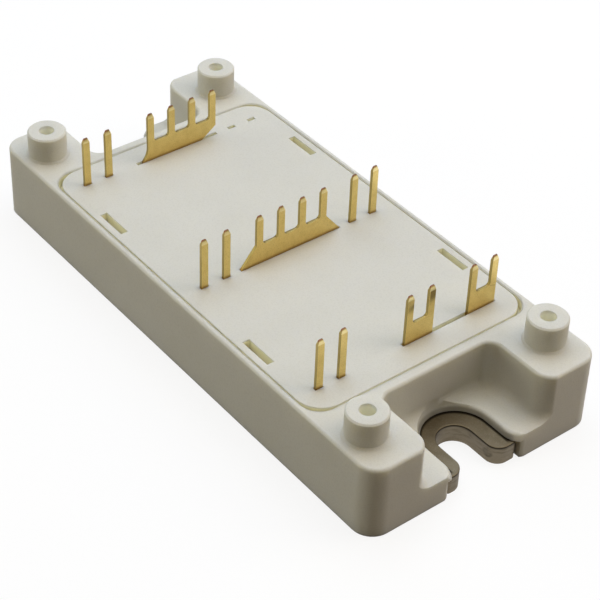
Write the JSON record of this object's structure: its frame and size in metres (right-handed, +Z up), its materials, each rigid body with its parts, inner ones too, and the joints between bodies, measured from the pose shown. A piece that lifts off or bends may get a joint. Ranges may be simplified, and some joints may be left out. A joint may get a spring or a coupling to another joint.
{
  "type": "igbt module",
  "caption": "Flat power semiconductor module: plastic frame on a metal base plate, snap-in lid, rows of upright blade terminals and a screw slot at each end.",
  "frame": {"origin": "middle of the underside of the base plate", "axes": "+X along the length towards the end row with the fork terminals, +Y across, +Z up along the terminals"},
  "size_m": [0.0902, 0.0404, 0.0201],
  "materials": {
    "housing_plastic": "moulded, fine grain",
    "lid_plastic": "moulded, fine grain",
    "nickel_plate": "nickel plated, satin",
    "sealant": "cured silicone",
    "solder": "dull",
    "copper": "bare copper",
    "ceramic": "white alumina",
    "silicon": "metallised top",
    "thermistor_body": "glazed",
    "bond_wire": "drawn",
    "gel": "clear soft gel",
    "plated_terminal": "gold flashed, satin"
  },
  "bodies": {
    "root": {"housing": "housing_plastic", "lid": "lid_plastic", "base_plate": "nickel_plate", "sealing_adhesive": "sealant", "plate_solder": "solder", "back_copper": "copper", "ceramic_far": "ceramic", "ceramic_near": "ceramic", "copper_pattern_far": "copper", "copper_pattern_near": "copper", "component_solder": "solder", "transistor_chips": "silicon", "diode_chips": "silicon", "thermistor": "thermistor_body", "power_wires_far": "bond_wire", "power_wires_near": "bond_wire", "bridge_wires": "bond_wire", "control_wires": "bond_wire", "silicone_gel": "gel", "terminal_comb_far": "plated_terminal", "terminal_comb_middle": "plated_terminal", "terminal_fork_centre": "plated_terminal", "terminal_fork_side": "plated_terminal", "control_pin_far_1": "plated_terminal", "control_pin_far_2": "plated_terminal", "control_pin_middle_1": "plated_terminal", "control_pin_middle_2": "plated_terminal", "control_pin_middle_3": "plated_terminal", "control_pin_middle_4": "plated_terminal", "control_pin_near_1": "plated_terminal", "control_pin_near_2": "plated_terminal"}
  },
  "joints": []
}
